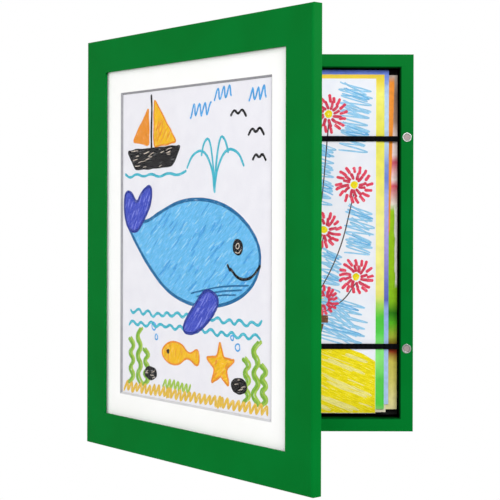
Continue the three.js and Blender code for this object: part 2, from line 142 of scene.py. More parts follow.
# Closes a material. Its look gives one roughness, or two between which a pattern moves it.
def coat(material, look, colour, bump=(0, 0, 0), pattern=None):
    gloss = look["roughness"]
    if pattern is not None:
        span = {"Value": pattern, "To Min": gloss[0], "To Max": gloss[1]}
        gloss = addNode(material.node_tree, "MapRange", span)
    return closeMaterial(material, {
        "Base Color": colour, "Roughness": gloss, "Normal": bump,
        "Metallic": look.get("metallic", 0), "Specular IOR Level": look["specular"],
    })


# Studio: an even pale world that shows white behind the frame, and four soft lamps
studio = {
    "ambient": 0.36,
    "lamps": {
        "right": {"place": (0.5, -1.75, 0.72), "size": 0.6, "power": 19.5},
        "side": {"place": (1.5, -0.3, 0.45), "size": 0.7, "power": 9.5},
        "left": {"place": (-1.25, -0.5, 0.12), "size": 0.9, "power": 5.8},
        "front": {"place": (-0.45, -2.3, 0.55), "size": 0.6, "power": 9},
    },
    # The floor is pale near the frame, where its shadow falls, and melts into the white away from it
    "floor": {"drop": 0.8, "radius": 4, "corners": 96, "colour": "#f4f4f2", "roughness": 0.9,
              "white": (0.3, 1), "melt": (0.5, 2.2)},
}


# 1 for what the camera sees, also in a mirror or through glass
def seenRays(tree):
    rays = addNode(tree, "LightPath").outputs
    bounced = {0: rays["Is Glossy Ray"], 1: rays["Is Transmission Ray"]}
    seen = {0: rays["Is Camera Ray"], 1: addNode(tree, "Math", bounced, operation="MAXIMUM")}
    return addNode(tree, "Math", seen, operation="MAXIMUM")


def lightStudio():
    world = bpy.data.worlds.new("studio")
    bpy.context.scene.world = world
    world.use_nodes = True
    tree = world.node_tree
    tree.nodes.clear()
    ambient = addNode(tree, "Background", {"Color": (1, 1, 1, 1), "Strength": studio["ambient"]})
    white = addNode(tree, "Background", {"Color": (1, 1, 1, 1), "Strength": 1})
    mixed = addNode(tree, "MixShader", {0: seenRays(tree), 1: ambient, 2: white})
    addNode(tree, "OutputWorld", {"Surface": mixed})
    for name, lamp in studio["lamps"].items():
        bpy.ops.object.light_add(type="AREA", location=lamp["place"])
        light = bpy.context.object
        light.name = name + "Softbox"
        light.data.size = lamp["size"]
        light.data.energy = lamp["power"]
        light.rotation_euler = (-Vector(lamp["place"])).to_track_quat("-Z", "Y").to_euler()


def layFloor():
    floor = studio["floor"]
    low = (0, 0, cadBox[0].z - floor["drop"])
    bpy.ops.mesh.primitive_circle_add(
        vertices=floor["corners"], radius=floor["radius"], fill_type="NGON", location=low
    )
    disc = bpy.context.object
    disc.name = "studioFloor"
    material, tree, place = startMaterial("palePaintedFloor")
    shade = {"Base Color": toLinear(floor["colour"]), "Roughness": floor["roughness"]}
    painted = addNode(tree, "BsdfPrincipled", shade)
    away = addNode(tree, "VectorMath", {0: place}, operation="LENGTH").outputs["Value"]
    (near, far), (dull, bright) = floor["melt"], floor["white"]
    span = {"Value": away, "From Min": near, "From Max": far, "To Min": dull, "To Max": bright}
    melt = addNode(tree, "MapRange", span, interpolation_type="SMOOTHSTEP")
    share = addNode(tree, "Math", {0: melt, 1: seenRays(tree)}, operation="MULTIPLY")
    mixed = {0: share, 1: painted, 2: addNode(tree, "Emission")}
    disc.data.materials.append(closeMaterial(material, mixed, "MixShader"))


lightStudio()
layFloor()
print("studio lit")


# Materials. Grain sizes and heights are in millimetres.
rimDepth = shutBox("box_latch_wall")[0].y


# Satin lacquer sprayed on fibreboard: an even deep green with a faint orange peel and a soft sheen
def satinGreenLacquer():
    lacquer = {"colour": "#006d25", "thin": "#007229", "cloud": 45, "peel": 1.4, "peelHeight": 0.012,
               "peelStrength": 0.6, "roughness": (0.4, 0.5), "specular": 0.02}
    material, tree, place = startMaterial("satinGreenLacquer")
    cloud = addNode(tree, "TexNoise", {"Vector": place, "Scale": perMetre(lacquer["cloud"])})
    stops = [(0.35, lacquer["colour"]), (0.7, lacquer["thin"])]
    colour = addNode(tree, "ValToRGB", {"Fac": cloud}, stops)
    peel = addNode(tree, "TexNoise", {"Vector": place, "Scale": perMetre(lacquer["peel"]), "Detail": 1})
    height, strength = lacquer["peelHeight"] * mm, lacquer["peelStrength"]
    bump = addNode(tree, "Bump", {"Height": peel, "Distance": height, "Strength": strength})
    return coat(material, lacquer, colour, bump, cloud)


# Inside the box: dark green just behind the rim, fading unevenly to black with depth, as painted shade of the
# recess
def overspray():
    recessShade = {"green": "#04521f", "black": "#030504", "depth": 18, "uneven": 12, "drift": 0.4,
            "roughness": 0.9, "specular": 0}
    material, tree, place = startMaterial("blackPaintGreenOverspray")
    depth = addNode(tree, "SeparateXYZ", {"Vector": place}).outputs["Y"]
    uneven = addNode(tree, "TexNoise", {"Vector": place, "Scale": perMetre(recessShade["uneven"]), "Detail": 3})
    span = {"Value": depth, "From Min": rimDepth, "From Max": rimDepth + recessShade["depth"] * mm}
    behind = addNode(tree, "MapRange", span)
    drifted = addNode(tree, "Math", {0: uneven, 1: recessShade["drift"], 2: behind}, operation="MULTIPLY_ADD")
    stops = [(0.2, recessShade["green"]), (0.9, recessShade["black"])]
    colour = addNode(tree, "ValToRGB", {"Fac": drifted}, stops)
    return coat(material, recessShade, colour)


# A plain material whose colour drifts a little and whose surface has one grain
def grainedMaterial(name, look):
    look = {**matt, **look}
    (light, dark), (grainSize, height) = look["colours"], look["grain"]
    material, tree, place = startMaterial(name)
    if "stretch" in look:
        place = addNode(tree, "Mapping", {"Vector": place, "Scale": look["stretch"]})
    drift = addNode(tree, "TexNoise", {"Vector": place, "Scale": perMetre(look["patch"]), "Detail": 3})
    colour = addNode(tree, "ValToRGB", {"Fac": drift}, [(0.3, dark), (0.7, light)])
    grain = addNode(tree, "TexNoise", {"Vector": place, "Scale": perMetre(grainSize)})
    bump = addNode(tree, "Bump", {"Height": grain, "Distance": height * mm})
    return coat(material, look, colour, bump, grain)


# Clear cast acrylic: hardly seen but for a thin reflection that grows towards the edge of sight
def clearAcrylic():
    pane = {"roughness": 0.03, "facing": 0.5, "steepness": 5, "edgeShare": 0.5, "leastShare": 0.006}
    material, tree = startMaterial("clearAcrylic")[:2]
    facing = addNode(tree, "LayerWeight", {"Blend": pane["facing"]}).outputs["Facing"]
    rise = addNode(tree, "Math", {0: facing, 1: pane["steepness"]}, operation="POWER")
    shares = {0: rise, 1: pane["edgeShare"], 2: pane["leastShare"]}
    share = addNode(tree, "Math", shares, operation="MULTIPLY_ADD")
    clear = addNode(tree, "BsdfTransparent")
    shine = addNode(tree, "BsdfGlossy", {"Roughness": pane["roughness"]})
    return closeMaterial(material, {0: share, 1: clear, 2: shine}, "MixShader")


# What a board or paper has where its row doesn't say otherwise
matt = {"roughness": (0.85, 0.95), "specular": 0.2}
boardLooks = {
    # Cotton mat board: a white face with a fine tooth
    "whiteMatBoard": {"colours": ("#fdfdfc", "#fafaf8"), "patch": 30, "grain": (0.5, 0.01)},
    # The cut of the mat's window: grey as painted shade, and a paler copy as painted light on the lower cut, which
    # faces up
    "cutMatCore": {"colours": ("#a2a2a6", "#929297"), "patch": 3, "grain": (0.3, 0.02),
                   "roughness": (0.9, 1.0), "specular": 0.1},
    "paleMatCore": {"colours": ("#d6d6d9", "#cacace"), "patch": 3, "grain": (0.3, 0.02),
                    "roughness": (0.9, 1.0), "specular": 0.1},
    # Smooth drawing paper: cool white and matt
    "drawingPaper": {"colours": ("#eeedf3", "#e9e8ef"), "patch": 12, "grain": (0.35, 0.008),
                     "roughness": (0.8, 0.95)},
    # Cartridge paper: a little bluer and rougher
    "cartridgePaper": {"colours": ("#f6f8ff", "#eff3fd"), "patch": 15, "grain": (0.5, 0.012),
                       "specular": 0.15},
    "officePaper": {"colours": ("#f3f1ea", "#e6e3da"), "patch": 6, "grain": (0.3, 0.01)},
    "creamPaper": {"colours": ("#f3ecd2", "#ebe2c2"), "patch": 8, "grain": (0.4, 0.015)},
    # Pressed greyboard: warm grey with darker fibres
    "greyBoard": {"colours": ("#9a9184", "#776f64"), "patch": 1.6, "grain": (0.6, 0.04),
                  "roughness": (0.85, 1.0)},
    # Hardboard painted matt black: a slightly uneven skin
    "blackHardboard": {"colours": ("#1b1b1b", "#111111"), "patch": 5, "grain": (0.8, 0.03),
                       "roughness": (0.6, 0.8), "specular": 0.3},
    # Zinc plated steel: grey, a little cloudy, rolled one way
    "zincPlatedSteel": {"colours": ("#c6c8ca", "#aeb1b4"), "patch": 4, "grain": (0.5, 0.004),
                        "roughness": (0.28, 0.42), "metallic": 1, "specular": 0.5, "stretch": (1, 1, 0.15)},
    # Bright nickel plate: near mirror
    "nickelPlate": {"colours": ("#a6aba6", "#999e99"), "patch": 3, "grain": (0.5, 0.001),
                    "roughness": (0.2, 0.3), "metallic": 1, "specular": 0.5},
    # Ground magnet face: dull pinkish grey
    "groundMagnet": {"colours": ("#988b8a", "#857877"), "patch": 1, "grain": (0.3, 0.004),
                     "roughness": (0.5, 0.65), "metallic": 0.6, "specular": 0.5},
    # Brass plate on pressed steel: warm and softly polished
    "brassPlate": {"colours": ("#c49a44", "#a98235"), "patch": 3, "grain": (0.4, 0.003),
                   "roughness": (0.25, 0.4), "metallic": 1, "specular": 0.5},
}
finish = {name: grainedMaterial(name, look) for name, look in boardLooks.items()}
finish["satinGreenLacquer"] = satinGreenLacquer()
finish["clearAcrylic"] = clearAcrylic()
finish["overspray"] = overspray()
print("materials mixed")


# Points closer than weld are joined, and those closer than hair to a face lie on it. Faces that meet at
# less than flat are one, and at more than sharp they make an edge.
weld, hair = 0.005 * mm, 0.01 * mm
flat, sharp = math.radians(1), math.radians(35)


def takeUp(piece):
    bpy.ops.object.select_all(action="DESELECT")
    piece.select_set(True)
    bpy.context.view_layer.objects.active = piece


def joinAll(pieces):
    takeUp(pieces[-1])
    for piece in pieces[:-1]:
        piece.select_set(True)
    if len(pieces) > 1:
        bpy.ops.object.join()
    return pieces[-1]


# A copy of a frame node with its loose triangles joined, as it lies with the door shut. A cut keeps the
# flats on its two sides apart.
def shutCopy(node, cutAt=None):
    mesh = frame["nodes"][node].data.copy()
    mesh.materials.clear()
    mesh.transform(turnOf(node).inverted())
    piece = bpy.data.objects.new(node + "_finished", mesh)
    bpy.context.collection.objects.link(piece)
    takeUp(piece)
    if mesh.has_custom_normals:
        bpy.ops.mesh.customdata_custom_splitnormals_clear()
    bpy.ops.object.mode_set(mode="EDIT")
    bpy.ops.mesh.select_all(action="SELECT")
    bpy.ops.mesh.remove_doubles(threshold=weld)
    if cutAt is not None:
        bpy.ops.mesh.bisect(plane_co=(cutAt, 0, 0), plane_no=(1, 0, 0))
        bpy.ops.mesh.mark_seam()
        bpy.ops.mesh.select_all(action="SELECT")
    bpy.ops.mesh.dissolve_limited(angle_limit=flat, delimit={"NORMAL", "SEAM"})
    bpy.ops.object.mode_set(mode="OBJECT")
    return piece


def roundEdges(piece, width, pick, segments):
    shape = bmesh.new()
    shape.from_mesh(piece.data)
    layers = shape.edges.layers.float
    weight = layers.get("bevel_weight_edge") or layers.new("bevel_weight_edge")
    for edge in shape.edges:
        edge[weight] = 1 if pick(edge) else 0
    shape.to_mesh(piece.data)
    shape.free()
    takeUp(piece)
    bevel = piece.modifiers.new("roundedEdges", "BEVEL")
    bevel.limit_method = "WEIGHT"
    bevel.width = width * mm
    bevel.segments = segments
    bevel.use_clamp_overlap = False
    bpy.ops.object.modifier_apply(modifier=bevel.name)


# Eases all the sharp edges of a piece, but for those that skip picks out
def easeEdges(piece, width, skip=None):
    def isSharp(edge):
        return edge.is_manifold and edge.calc_face_angle() > sharp and not (skip and skip(edge))

    roundEdges(piece, width, isSharp, segments=3)
    bpy.ops.object.shade_smooth_by_angle(angle=sharp)
    normals = piece.modifiers.new("flatFaces", "WEIGHTED_NORMAL")
    normals.keep_sharp = True
    bpy.ops.object.modifier_apply(modifier=normals.name)


# Turns a finished copy back to where its node is, and puts it in the node's stead
def standIn(piece, node, *looks):
    for look in looks:
        piece.data.materials.append(finish[look])
    piece.data.transform(turnOf(node))
    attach(piece, bodyOf[node])
    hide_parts(node)


# Rails and walls: mitred bars whose long edges are eased, and whose mitres stay tight
bars = {
    "door": {
        "nodes": ["door_top_rail", "door_bottom_rail", "door_hinge_stile", "door_free_stile"],
        "ease": 0.25, "looks": ["satinGreenLacquer"],
    },
    "box": {
        "nodes": ["box_top_wall", "box_bottom_wall", "box_hinge_wall", "box_latch_wall"],
        # The second look is the painted shade for the faces inside the box
        "ease": 0.3, "looks": ["satinGreenLacquer", "overspray"],
        "innerArris": {"box_hinge_wall": 0.6, "box_top_wall": 1.05, "box_bottom_wall": 1.05,
                       "box_latch_wall": 1.05},
        "cut": {"box_latch_wall": 1.1},  # behind the arris, and clear of the magnets' bores
    },
    "mitreReach": 0.4,
    "hairline": 0.012,
    # Bores and recesses in the rim lie this far in from its two edges, and stay crisp
    "boreInset": 1,
    "ringInset": 0.5,
}
innerRight = shutBox("box_latch_wall")[0].x
innerTop = shutBox("box_top_wall")[0].z


# Draws the mitred ends of two bars together, to leave a hairline between them
def closeMitre(bar, halfWidth, halfHeight):
    reach, hairline = bars["mitreReach"] * mm, bars["hairline"] * mm
    for vertex in bar.data.vertices:
        gap = (halfWidth - abs(vertex.co.x)) - (halfHeight - abs(vertex.co.z))
        if hairline < gap < reach:
            vertex.co.x += math.copysign(gap - hairline, vertex.co.x)
        elif -reach < gap < -hairline:
            vertex.co.z += math.copysign(-gap - hairline, vertex.co.z)


# Picks the edges whose ends both pass a test of y, and of x and z counted away from the middle
def bothEnds(test):
    return lambda edge: all(test(abs(end.co.x), end.co.y, abs(end.co.z)) for end in edge.verts)


def makeBars(group):
    corners = [shutBox(node)[1] for node in group["nodes"]]
    halfWidth, halfHeight = max(corner.x for corner in corners), max(corner.z for corner in corners)
    onMitre = bothEnds(lambda x, y, z: abs((halfWidth - x) - (halfHeight - z)) < bars["mitreReach"] * mm)
    onInnerRim = bothEnds(
        lambda x, y, z: y < rimDepth + hair and (abs(x - innerRight) < hair or abs(z - innerTop) < hair)
    )
    inRim = bothEnds(
        lambda x, y, z: abs(y - rimDepth) < hair and z < innerTop
        and innerRight + bars["boreInset"] * mm < x < halfWidth - bars["ringInset"] * mm
    )
    for node in group["nodes"]:
        cut = group.get("cut", {}).get(node)
        bar = shutCopy(node, cut and innerRight + cut * mm)
        closeMitre(bar, halfWidth, halfHeight)
        if "innerArris" in group:
            roundEdges(bar, group["innerArris"][node], onInnerRim, segments=5)
        easeEdges(bar, group["ease"], lambda edge: onMitre(edge) or inRim(edge))
        if bodyOf[node] == "box":
            paintInsideShade(bar)
        standIn(bar, node, *group["looks"])


# The faces of a box wall that look inwards take the painted recess shade, up to the turn of its inner arris
def paintInsideShade(bar):
    paintEdge = 0.6 * mm
    for face in bar.data.polygons:
        if abs(face.center.x) < innerRight + paintEdge and abs(face.center.z) < innerTop + paintEdge:
            face.material_index = 1


makeBars(bars["door"])
makeBars(bars["box"])
print("bars finished")

# Hardware and boards keep their nodes' shapes, with their edges eased by these widths
hardware = {
    "zincPlatedSteel": {"ends": ("_leaf", "_pin", "_screw", "_tab", "_shank", "_nail"), "ease": 0.08},
    "nickelPlate": {"ends": ("_magnet_cup", "_strike_disc"), "ease": 0.15},
    "groundMagnet": {"ends": ("_magnet_core",), "ease": 0.1},
    "brassPlate": {"ends": ("_hanger",), "ease": 0.1},
    "greyBoard": {"ends": ("door_backing_board",), "ease": 0.2},
    "blackHardboard": {"ends": ("back_panel",), "ease": 0.2},
}

for look, group in hardware.items():
    for node in frame["nodes"]:
        if node.endswith(group["ends"]):
            fitting = shutCopy(node)
            easeEdges(fitting, group["ease"])
            standIn(fitting, node, look)
print("hardware finished")


# These two keep the shapes of their nodes
for node, look in {"glazing": "clearAcrylic", "display_sheet": "drawingPaper"}.items():
    slots = frame["nodes"][node].data.materials
    slots.clear()
    slots.append(finish[look])


# The mat's window is cut at a slant, and the cut leaves a thin worn arris on the face
def makeMat():
    arris, border, leaning, square = 0.4, 5 * mm, 0.1, 0.99
    mat = shutCopy("mat")
    front, outer = shutBox("mat")[0].y, shutBox("mat")[1]
    onArris = bothEnds(
        lambda x, y, z: abs(y - front) < hair and outer.x - x > border and outer.z - z > border
    )
    roundEdges(mat, arris, onArris, segments=2)
    # Slanted cut faces take the grey painted shade, and those facing up take the paler painted light
    for face in mat.data.polygons:
        if leaning < abs(face.normal.y) < square:
            face.material_index = 2 if face.normal.z > leaning else 1
    standIn(mat, "mat", "whiteMatBoard", "cutMatCore", "paleMatCore")


makeMat()
print("mat cut")

# Paper pieces. Wave and thickness keep each sheet inside the space that its node holds.
paper = {"thickness": 0.2, "wave": 0.13, "waveLength": 75, "across": 28, "along": 34, "smooth": 40}


# Stands a page upright at a depth in front of the wall, u to the right, v up and h towards the viewer
def pageTurn(depth):
    upright = Matrix.Rotation(math.pi / 2, 4, "X")
    return Matrix.Translation((0, depth * mm, 0)) @ upright @ Matrix.Scale(mm, 4)


# The size and the middle of a node with the door shut, in millimetres
def measure(node):
    low, high = shutBox(node)
    return (high - low) / mm, (high + low) / 2 / mm


# Adds a grid of a width and height round a middle, in page millimetres
def addGrid(across, along, width, height, middle):
    bpy.ops.object.select_all(action="DESELECT")
    bpy.ops.mesh.primitive_grid_add(x_subdivisions=across, y_subdivisions=along, size=1)
    grid = bpy.context.object
    for vertex in grid.data.vertices:
        vertex.co.xy = vertex.co.x * width + middle[0], vertex.co.y * height + middle[1]
    return grid


def ripple(grid, look, seed, lift=0.0):
    for vertex in grid.data.vertices:
        u, v = vertex.co.xy / look["waveLength"]
        vertex.co.z = lift + look["wave"] * noise.noise((u, v, seed))


def thicken(grid, thickness):
    thick = grid.modifiers.new("thickness", "SOLIDIFY")
    thick.thickness = thickness
    thick.offset = 0
    bpy.ops.object.modifier_apply(modifier=thick.name)


def makeSheet(node, seed, look):
    size, centre = measure(node)
    sheet = addGrid(paper["across"], paper["along"], size.x, size.z, centre.xz)
    sheet.name = node + "_sheet"
    if seed:  # the first sheet is drawn on, and the straps hold it flat
        ripple(sheet, paper, seed)
    thicken(sheet, paper["thickness"])
    bpy.ops.object.shade_smooth_by_angle(angle=math.radians(paper["smooth"]))
    sheet.data.transform(pageTurn(centre.y))
    standIn(sheet, node, look)


# Lays one more colour over a painted sheet, on one side of a line that leans and wavers
def sidePaint(tree, parts, pool, under, side):
    across, up = parts.outputs["X"], parts.outputs["Z"]
    line = addNode(tree, "Math", {0: up, 1: -side["lean"], 2: across}, operation="MULTIPLY_ADD")
    wavered = addNode(tree, "Math", {0: pool, 1: side["waver"] * mm, 2: line}, operation="MULTIPLY_ADD")
    edge, (low, high) = side["edge"] + side["waver"] / 2, side["heights"]
    blur, fade = (0.4 if side["keep"] == "right" else -0.4), 3
    steps = [(wavered, edge - blur, edge + blur),
             (up, low - fade, low + fade), (up, high + fade, high - fade)]
    share = 1
    for value, start, end in steps:
        step = addNode(tree, "MapRange", {"Value": value, "From Min": start * mm, "From Max": end * mm})
        share = addNode(tree, "Math", {0: share, 1: step}, operation="MULTIPLY")
    layered = {"Factor": share, "A": under, "B": toLinear(side["colour"])}
    return addNode(tree, "Mix", layered, data_type="RGBA").outputs["Result"]


# Poster paint on sugar paper: flat chalky colour that pools and thins from one band to the next
def posterPaint(name, look):
    material, tree, place = startMaterial(name)
    pool = addNode(tree, "TexNoise", {"Vector": place, "Scale": perMetre(look["pool"]), "Detail": 3})
    parts = addNode(tree, "SeparateXYZ", {"Vector": place})
    (low, high), drift = look["reach"], look["drift"]
    pooled = {0: pool, 1: 2 * drift * mm, 2: parts.outputs["Z"]}
    drifted = addNode(tree, "Math", pooled, operation="MULTIPLY_ADD")
    span = {"Value": drifted, "From Min": (low + drift) * mm, "From Max": (high + drift) * mm}
    stops = [((height - low) / (high - low), colour) for height, colour in look["bands"]]
    painted = addNode(tree, "ValToRGB", {"Fac": addNode(tree, "MapRange", span)}, stops)
    for side in look.get("sides", []):
        painted = sidePaint(tree, parts, pool, painted, side)
    wash = addNode(tree, "TexNoise", {"Vector": place, "Scale": perMetre(look["wash"]), "Detail": 4})
    thin, thick = look["depth"]
    span = {"Value": wash, "From Min": 0.3, "From Max": 0.7, "To Min": thin, "To Max": thick}
    shaded = addNode(tree, "HueSaturation", {"Color": painted, "Value": addNode(tree, "MapRange", span)})
    bump = addNode(tree, "Bump", {"Height": wash, "Distance": chalk["height"] * mm})
    return coat(material, chalk, shaded, bump)


chalk = {"height": 0.03, "roughness": 0.9, "specular": 0.15}
paintLooks = {
    # Yellow over green, thinned with water
    "yellowGreenPaint": {
        "reach": (-162, 162), "pool": 18, "drift": 5, "wash": 9, "depth": (0.98, 1.12),
        "bands": [
            (-160, "#a8d890"), (-150, "#4fd04c"), (-128, "#56cc50"), (-112, "#8ae87c"), (-96, "#82e67a"),
            (-84, "#56d050"), (-70, "#52c840"), (-60, "#a8dc60"), (-48, "#eee87c"), (10, "#f8f29c"),
            (60, "#f4ee74"), (100, "#eee85a"), (140, "#f6f27c"), (152, "#f2dc4a"), (158, "#eec84a"),
        ],
    },
    # Blue and lilac, marbled while wet
    "blueLilacPaint": {
        "reach": (-162, 168), "pool": 12, "drift": 7, "wash": 5, "depth": (0.94, 1.14),
        "bands": [
            (-155, "#b4ccf2"), (-95, "#a8c4f0"), (-62, "#98b0ea"), (-54, "#5f68c4"), (-40, "#6d78cc"),
            (-10, "#a49ae0"), (20, "#b2ace8"), (45, "#aab4ee"), (60, "#7088dc"), (72, "#8aa0e2"),
            (90, "#bfd6f4"), (130, "#c2dcf6"), (148, "#a8c4f4"), (154, "#7e98ec"), (163, "#6680e4"),
        ],
    },
    # Leaf green, lime and straw, with a warm band down the left and bare paper down the right
    "leafStrawPaint": {
        "reach": (-162, 162), "pool": 14, "drift": 4, "wash": 4, "depth": (0.96, 1.14),
        "bands": [
            (-160, "#ece4ac"), (-130, "#d8d06c"), (-112, "#d2c858"), (-103, "#8a3418"), (-97, "#6a2410"),
            (-88, "#a8b838"), (-76, "#58b422"), (-66, "#2c7a18"), (-54, "#8cc420"), (-20, "#98c81c"),
            (30, "#9ccc20"), (36, "#f0e8dc"), (52, "#e0566a"), (60, "#fae8e4"), (74, "#d8506a"),
            (82, "#fae4e2"), (102, "#f4dcd6"), (112, "#b09080"), (138, "#8c7468"), (156, "#c0b0a4"),
        ],
        "sides": [
            {"keep": "left", "edge": 123.4, "lean": 0.031, "waver": 1.2, "heights": (8, 153),
             "colour": "#f8983a"},
            {"keep": "right", "edge": 128.4, "lean": -0.012, "waver": 3, "heights": (-40, 34),
             "colour": "#f6f4ea"},
        ],
    },
}
finish.update({name: posterPaint(name, look) for name, look in paintLooks.items()})

storedSheets = {
    "stored_drawing_1": "cartridgePaper",
    "stored_drawing_2": "yellowGreenPaint",
    "stored_drawing_3": "blueLilacPaint",
    "stored_drawing_4": "creamPaper",
    "stored_drawing_5": "leafStrawPaint",
}
for seed, (node, look) in enumerate(storedSheets.items()):
    makeSheet(node, seed, look)
print("stored sheets laid")


# Stack: thin leaves, each a little smaller and shifted within the block that stands for them
stack = {
    "leaves": 24, "thickness": 0.3, "jog": 1.4, "short": 1.4, "wave": 0.04, "waveLength": 60,
    "across": 6, "along": 8,
}


def makeStack(node):
    size, centre = measure(node)
    dice = random.Random(5)
    leaves = []
    for leaf in range(stack["leaves"]):
        left, right, bottom, top = (dice.uniform(0, stack["jog"]) for side in range(4))
        bottom += stack["short"]
        middle = centre.x + (left - right) / 2, centre.z + (bottom - top) / 2
        width, height = size.x - left - right, size.z - bottom - top
        sheet = addGrid(stack["across"], stack["along"], width, height, middle)
        ripple(sheet, stack, leaf, size.y * ((leaf + 0.5) / stack["leaves"] - 0.5))
        leaves.append(sheet)
    block = joinAll(leaves)
    block.name = node + "_leaves"
    thicken(block, stack["thickness"])
    block.data.transform(pageTurn(centre.y))
    standIn(block, node, "officePaper")


makeStack("stored_paper_stack")
print("stack laid")

# Straps: flat elastic with rubber ribs along it, woven over in black polyester
strap = {
    "ribs": 6, "ribHeight": 0.12, "stepsPerRib": 4, "across": 2, "smooth": 60,
    "pick": 0.7, "pickHeight": 0.05, "waver": 0.3, "roughness": 0.85, "specular": 0.03,
}


def wovenElastic():
    material, tree, place = startMaterial("wovenElastic")
    scale = perMetre(strap["pick"]) / 20  # the wave texture's own factor
    woven = {"Vector": place, "Scale": scale, "Distortion": strap["waver"]}
    picks = addNode(tree, "TexWave", woven, bands_direction="X").outputs["Fac"]
    shade = addNode(tree, "ValToRGB", {"Fac": picks}, [(0.2, "#08080b"), (0.8, "#0e0f15")])
    bump = addNode(tree, "Bump", {"Height": picks, "Distance": strap["pickHeight"] * mm})
    return coat(material, strap, shade, bump)


def makeStrap(node):
    size, centre = measure(node)
    band = addGrid(strap["across"], strap["ribs"] * strap["stepsPerRib"], size.x, size.z, centre.xz)
    band.name = node + "_band"
    thicken(band, size.y - strap["ribHeight"])
    for vertex in band.data.vertices:
        across = (vertex.co.y - centre.z) / size.z + 0.5
        rib = abs(math.sin(math.pi * strap["ribs"] * across))
        edge = 1 if vertex.co.z > 0 else -1
        vertex.co.z += edge * strap["ribHeight"] / 2 * (2 * rib - 1)
    bpy.ops.object.shade_smooth_by_angle(angle=math.radians(strap["smooth"]))
    band.data.transform(pageTurn(centre.y))
    standIn(band, node, "wovenElastic")


finish["wovenElastic"] = wovenElastic()
makeStrap("upper_strap")
makeStrap("lower_strap")
print("straps stretched")

# Crayon work: strokes and filled patches drawn in page millimetres, u to the right and v up, from the
# middle of the box or door
crayon = {
    "thickness": 0.03, "stagger": 0.008, "layer": 0.012, "level": 1e-3, "weld": 1e-4, "margin": 0.6,
    "wobble": 0.5, "swing": (0.75, 1.1), "turnShare": 0.2, "corner": (0.25, 0.75),
    "pressure": (0.88, 1.1), "endShare": 0.5, "taper": 0.06, "runIn": 900,
}
dice = random.Random(11)


def roundOff(points, closed=True, passes=1):
    points = [Vector(point) for point in points]
    for _ in range(passes):
        ring = points + points[:1] if closed else points
        pairs = zip(ring, ring[1:])
        cut = [near.lerp(far, share) for near, far in pairs for share in crayon["corner"]]
        points = cut if closed else [points[0], *cut, points[-1]]
    return points


def line(points, width, closed=False, passes=2):
    wobble = crayon["wobble"]
    shaken = [(u + dice.uniform(-1, 1) * wobble, v + dice.uniform(-1, 1) * wobble) for u, v in points]
    return {"path": roundOff(shaken, closed, passes), "width": width, "closed": closed}


# An outline as a hand follows it: points between its corners keep the sides straight
def traced(corners, apart=7):
    ring = []
    for near, far in zip(corners, corners[1:] + corners[:1]):
        near, far = Vector(near), Vector(far)
        steps = max(1, round((far - near).length / apart))
        ring += [near.lerp(far, step / steps) for step in range(steps)]
    return [point + Vector((dice.uniform(-1, 1), dice.uniform(-1, 1))) * crayon["wobble"] for point in ring]


# An outline filled with wax whose streaks all run at one angle
def patch(outline, degrees):
    return {"outline": [Vector(point) for point in outline], "angle": math.radians(degrees)}


# A scribble to and fro across the way from start to end
def zigzag(start, end, reach, pitch, width, slant):
    start, end = Vector(start), Vector(end)
    turns = max(2, round((end - start).length / pitch))
    step = (end - start) / turns
    side = Vector((-step.y, step.x)).normalized() * reach
    points = []
    for turn in range(turns + 1):
        way = 1 if turn % 2 else -1
        tip = start + step * (turn + slant * way) + side * way * dice.uniform(*crayon["swing"])
        points += [tip - step * crayon["turnShare"], tip + step * crayon["turnShare"]]
    return line(points, width)


# Short loose strokes at one angle, scattered over an outline
def flicks(outline, degrees, count, length, width):
    turn = Matrix.Rotation(math.radians(degrees), 2)
    ring = [Vector(point) for point in outline]
    sides = list(zip(ring, ring[1:] + ring[:1]))
    across, up = [corner.x for corner in ring], [corner.y for corner in ring]

    def holds(spot):
        crossed = [
            a.x + (spot.y - a.y) / (b.y - a.y) * (b.x - a.x) > spot.x
            for a, b in sides if (a.y > spot.y) != (b.y > spot.y)
        ]
        return sum(crossed) % 2 == 1

    drawn = []
    for _ in range(count * 6):
        spot = Vector((dice.uniform(min(across), max(across)), dice.uniform(min(up), max(up))))
        half = turn @ Vector((length * dice.uniform(0.3, 0.6), dice.uniform(-0.4, 0.4)))
        if len(drawn) < count and holds(spot - half * 1.2) and holds(spot + half * 1.2):
            drawn.append(line([spot - half, spot, spot + half], width * dice.uniform(0.7, 1.2), passes=1))
    return drawn


def ringRound(centre, radius, points, squash=1.0):
    angles = [2 * math.pi * point / points for point in range(points)]
    return [(centre[0] + radius * math.cos(a), centre[1] + radius * squash * math.sin(a)) for a in angles]


def tint(colour, other, share):
    pairs = zip(bytes.fromhex(colour[1:]), bytes.fromhex(other[1:]))
    return "#" + "".join(f"{round(a + (b - a) * share):02x}" for a, b in pairs)


# Coloured wax rubbed over paper: bright, streaked along the stroke, broken by the tooth of the paper.
# Streak and tooth are coarser than life, so that they show from the camera.
def waxCrayon(name, colour, under):
    wax = {
        "tooth": 0.8, "streakLength": 8, "streakWidth": 0.9, "toothShare": 0.35, "streakShare": 0.65,
        "bare": 0.6, "thin": 0.25, "deep": 0.12, "roughness": 0.6, "specular": 0.04,
    }
    material, tree, place = startMaterial(name + "WaxCrayon")
    tooth = addNode(tree, "TexNoise", {"Vector": place, "Scale": perMetre(wax["tooth"])})
    stretch = (1 / wax["streakLength"], 1 / wax["streakWidth"], 1)
    drawn = addNode(tree, "Mapping", {"Vector": addNode(tree, "UVMap", uv_map="stroke"), "Scale": stretch})
    streak = addNode(tree, "TexNoise", {"Vector": drawn, "Scale": 1})
    broken = addNode(tree, "Math", {0: tooth, 1: wax["toothShare"]}, operation="MULTIPLY")
    taken = addNode(tree, "Math", {0: streak, 1: wax["streakShare"], 2: broken}, operation="MULTIPLY_ADD")
    bare, thin = tint(colour, under, wax["bare"]), tint(colour, under, wax["thin"])
    stops = [(0.34, bare), (0.38, thin), (0.44, colour), (0.62, tint(colour, "#000000", wax["deep"]))]
    shade = addNode(tree, "ValToRGB", {"Fac": taken}, stops)
    return coat(material, wax, shade)


